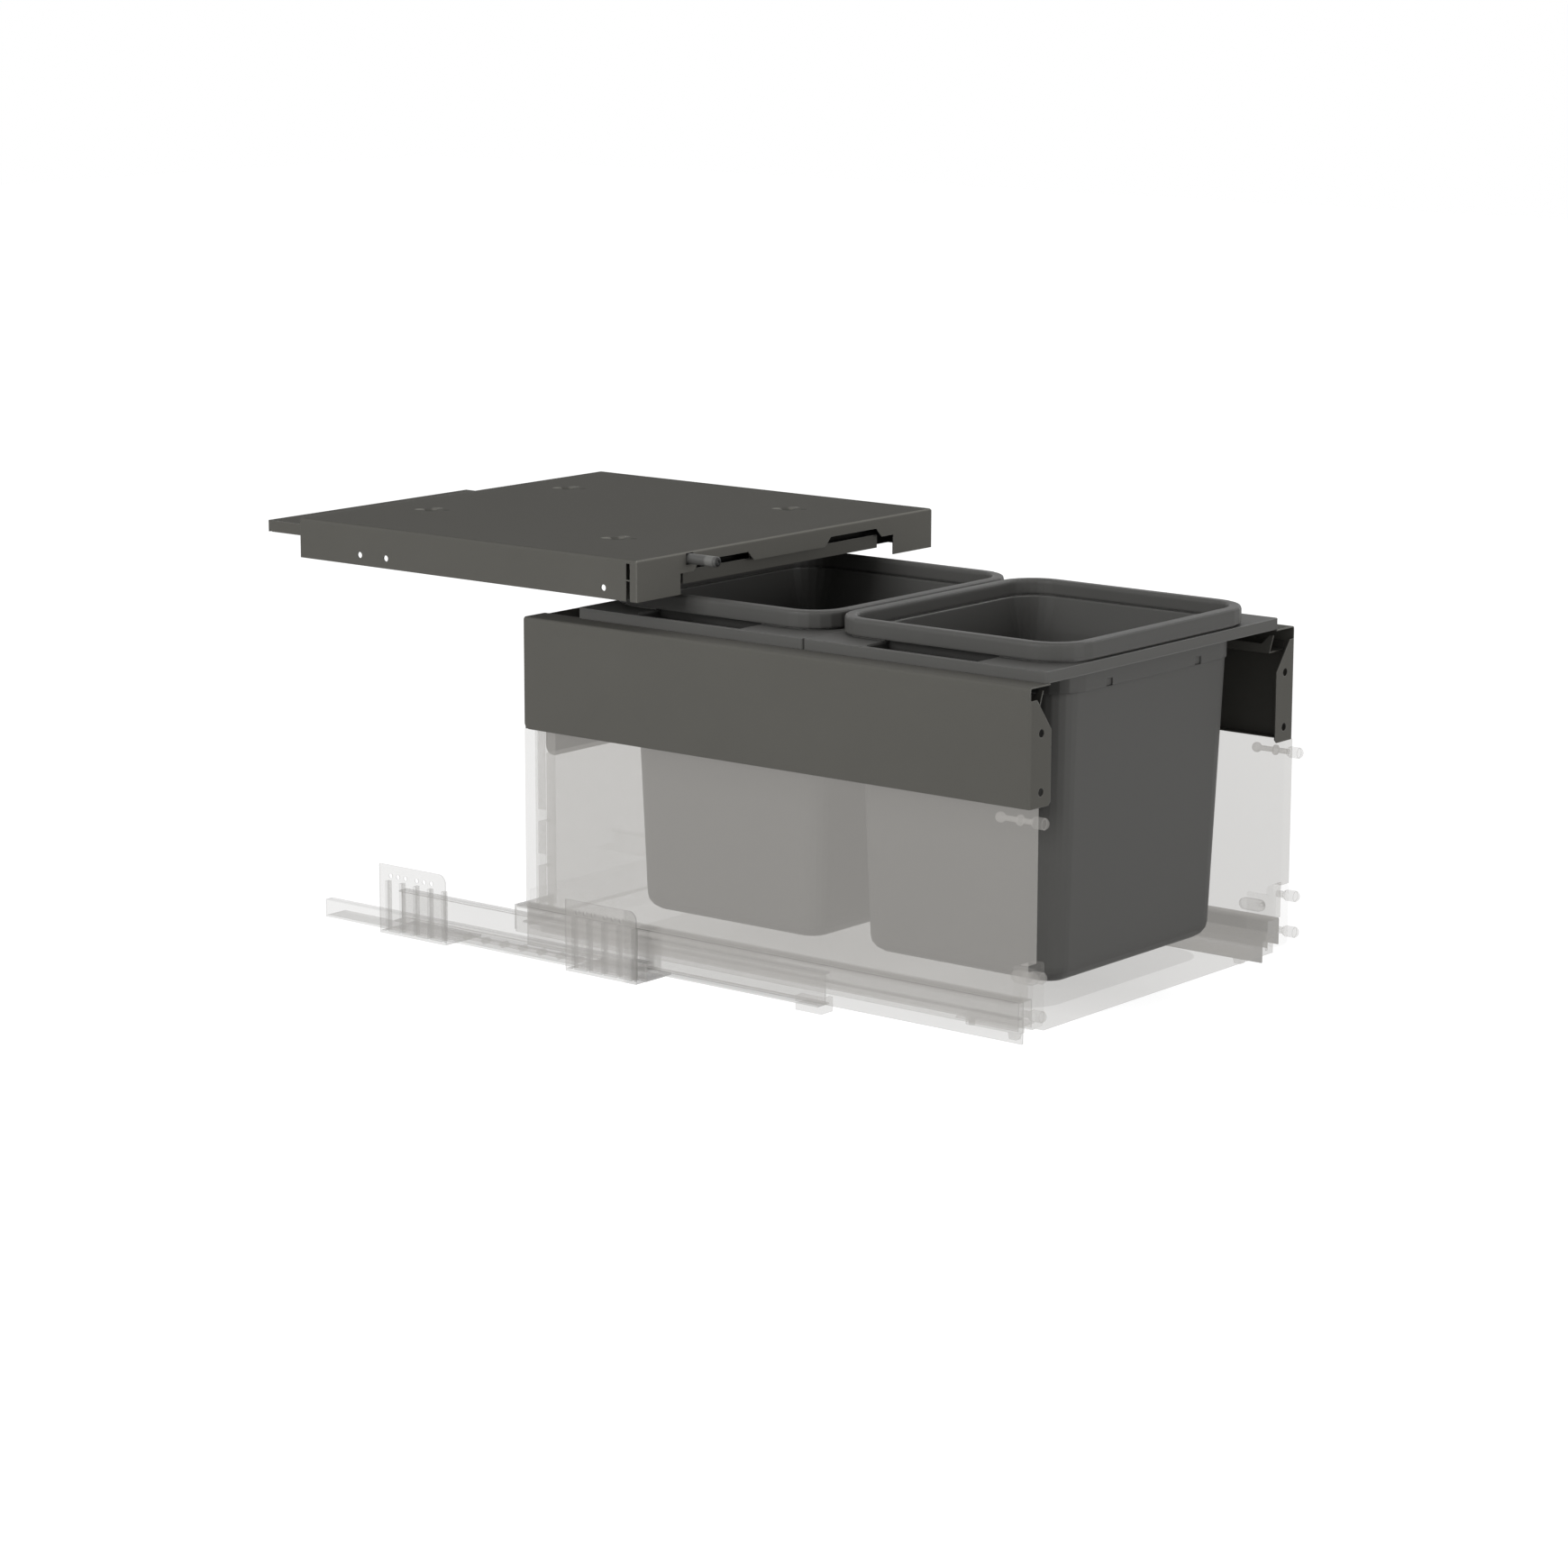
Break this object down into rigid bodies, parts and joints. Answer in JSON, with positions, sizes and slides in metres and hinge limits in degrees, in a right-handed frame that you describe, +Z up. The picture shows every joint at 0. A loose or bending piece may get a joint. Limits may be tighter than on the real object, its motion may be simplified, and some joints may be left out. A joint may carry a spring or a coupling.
{
  "type": "pull-out waste bin fitting for a kitchen cabinet",
  "caption": "Pull-out waste sorter: lift-out bins hang in frames on a drawer that runs under a fixed sheet-steel lid, with telescopic runners and a soft-close damper.",
  "frame": {"origin": "centre of the bounding box at its lowest face, where the wall brackets stand on the cabinet's floor", "axes": "+X to the right across the cabinet as seen from its front, +Y into the cabinet along the runners, +Z up"},
  "size_m": [0.414, 0.8566, 0.3692],
  "materials": {
    "dark_steel": "fine-textured powder coat, dark grey",
    "dark_plastic": "matt moulded plastic, dark grey",
    "plunger_grey": "satin plastic, mid grey",
    "pale_board": null,
    "pale_steel": null,
    "pale_plastic": null,
    "runner_steel": null
  },
  "bodies": {
    "cabinet": {"lid_tray": "dark_steel", "lid_cross_strip": "dark_steel", "lid_rear_plate": "dark_steel", "damper_housing": "dark_plastic", "wall_bracket_front_left": "pale_steel", "wall_bracket_rear_left": "pale_steel", "wall_bracket_front_right": "pale_steel", "wall_bracket_rear_right": "pale_steel", "cabinet_rail_left": "runner_steel", "cabinet_rail_right": "runner_steel"},
    "drawer": {"drawer_rail_left": "runner_steel", "drawer_rail_right": "runner_steel", "lock_plate_left": "pale_plastic", "lock_plate_right": "pale_plastic", "side_profile_left": "pale_steel", "side_profile_right": "pale_steel", "infill_side_left": "pale_board", "infill_side_right": "pale_board", "side_panel_left": "dark_steel", "side_panel_right": "dark_steel", "frame_ledge_left": "dark_steel", "frame_ledge_right": "dark_steel", "back_panel": "dark_steel", "rear_post_left": "pale_plastic", "rear_post_right": "pale_plastic", "infill_back": "pale_board", "base_panel": "pale_board", "low_back_board": "pale_board", "rear_connector_left": "pale_steel", "rear_connector_right": "pale_steel", "front_bracket_left": "pale_steel", "front_bracket_right": "pale_steel", "lower_dowels_left": "pale_plastic", "lower_dowels_right": "pale_plastic", "upper_dowel_left": "pale_plastic", "upper_dowel_right": "pale_plastic", "ball_stud_left": "runner_steel", "ball_stud_right": "runner_steel", "front_bin_frame": "dark_plastic", "rear_bin_frame": "dark_plastic", "front_bin": "dark_plastic", "rear_bin": "dark_plastic"},
    "plunger": {"damper_plunger": "plunger_grey"},
    "intermediate_left": {"intermediate_rail_left": "runner_steel", "rail_end_cap_left": "pale_plastic"},
    "lower_carriage_left": {"lower_cage_left": "pale_plastic", "lower_rollers_left": "pale_plastic"},
    "upper_carriage_left": {"upper_cage_left": "pale_plastic", "upper_rollers_left": "pale_plastic"},
    "lever_left": {"lock_lever_left": "pale_plastic"},
    "adjuster_left": {"front_adjuster_left": "pale_steel"},
    "intermediate_right": {"intermediate_rail_right": "runner_steel", "rail_end_cap_right": "pale_plastic"},
    "lower_carriage_right": {"lower_cage_right": "pale_plastic", "lower_rollers_right": "pale_plastic"},
    "upper_carriage_right": {"upper_cage_right": "pale_plastic", "upper_rollers_right": "pale_plastic"},
    "lever_right": {"lock_lever_right": "pale_plastic"},
    "adjuster_right": {"front_adjuster_right": "pale_steel"}
  },
  "joints": [
    {"name": "drawer_slide", "type": "slide", "parent": "cabinet", "child": "drawer", "axis": [0, -1, 0], "range_m": [-0.394, 0.151]},
    {"name": "intermediate_left_slide", "type": "slide", "parent": "cabinet", "child": "intermediate_left", "axis": [0, -1, 0], "range_m": [-0.197, 0.0755]},
    {"name": "lower_carriage_left_slide", "type": "slide", "parent": "cabinet", "child": "lower_carriage_left", "axis": [0, -1, 0], "range_m": [-0.0985, 0.03775]},
    {"name": "upper_carriage_left_slide", "type": "slide", "parent": "cabinet", "child": "upper_carriage_left", "axis": [0, -1, 0], "range_m": [-0.2955, 0.11325]},
    {"name": "intermediate_right_slide", "type": "slide", "parent": "cabinet", "child": "intermediate_right", "axis": [0, -1, 0], "range_m": [-0.197, 0.0755]},
    {"name": "lower_carriage_right_slide", "type": "slide", "parent": "cabinet", "child": "lower_carriage_right", "axis": [0, -1, 0], "range_m": [-0.0985, 0.03775]},
    {"name": "upper_carriage_right_slide", "type": "slide", "parent": "cabinet", "child": "upper_carriage_right", "axis": [0, -1, 0], "range_m": [-0.2955, 0.11325]},
    {"name": "damper_plunger_slide", "type": "slide", "parent": "cabinet", "child": "plunger", "axis": [0, 1, 0], "range_m": [0, 0.024], "stiffness_N_per_m": 120},
    {"name": "lock_lever_left_turn", "type": "hinge", "parent": "drawer", "child": "lever_left", "pos_m": [-0.1667, -0.34025, 0.0151], "axis": [0, 0, 1], "range_deg": [0, 12], "stiffness_Nm_per_rad": 0.3},
    {"name": "front_adjuster_left_turn", "type": "hinge", "parent": "drawer", "child": "adjuster_left", "pos_m": [-0.172, -0.40165, 0.0604], "axis": [1, 0, 0], "range_deg": [0, 80]},
    {"name": "lock_lever_right_turn", "type": "hinge", "parent": "drawer", "child": "lever_right", "pos_m": [0.1667, -0.34025, 0.0151], "axis": [0, 0, -1], "range_deg": [0, 12], "stiffness_Nm_per_rad": 0.3},
    {"name": "front_adjuster_right_turn", "type": "hinge", "parent": "drawer", "child": "adjuster_right", "pos_m": [0.172, -0.40165, 0.0604], "axis": [1, 0, 0], "range_deg": [0, 80]}
  ],
  "couplings": [
    {"joint": "intermediate_left_slide", "follows": "drawer_slide", "ratio": 0.5},
    {"joint": "lower_carriage_left_slide", "follows": "drawer_slide", "ratio": 0.25},
    {"joint": "upper_carriage_left_slide", "follows": "drawer_slide", "ratio": 0.75},
    {"joint": "intermediate_right_slide", "follows": "drawer_slide", "ratio": 0.5},
    {"joint": "lower_carriage_right_slide", "follows": "drawer_slide", "ratio": 0.25},
    {"joint": "upper_carriage_right_slide", "follows": "drawer_slide", "ratio": 0.75}
  ]
}
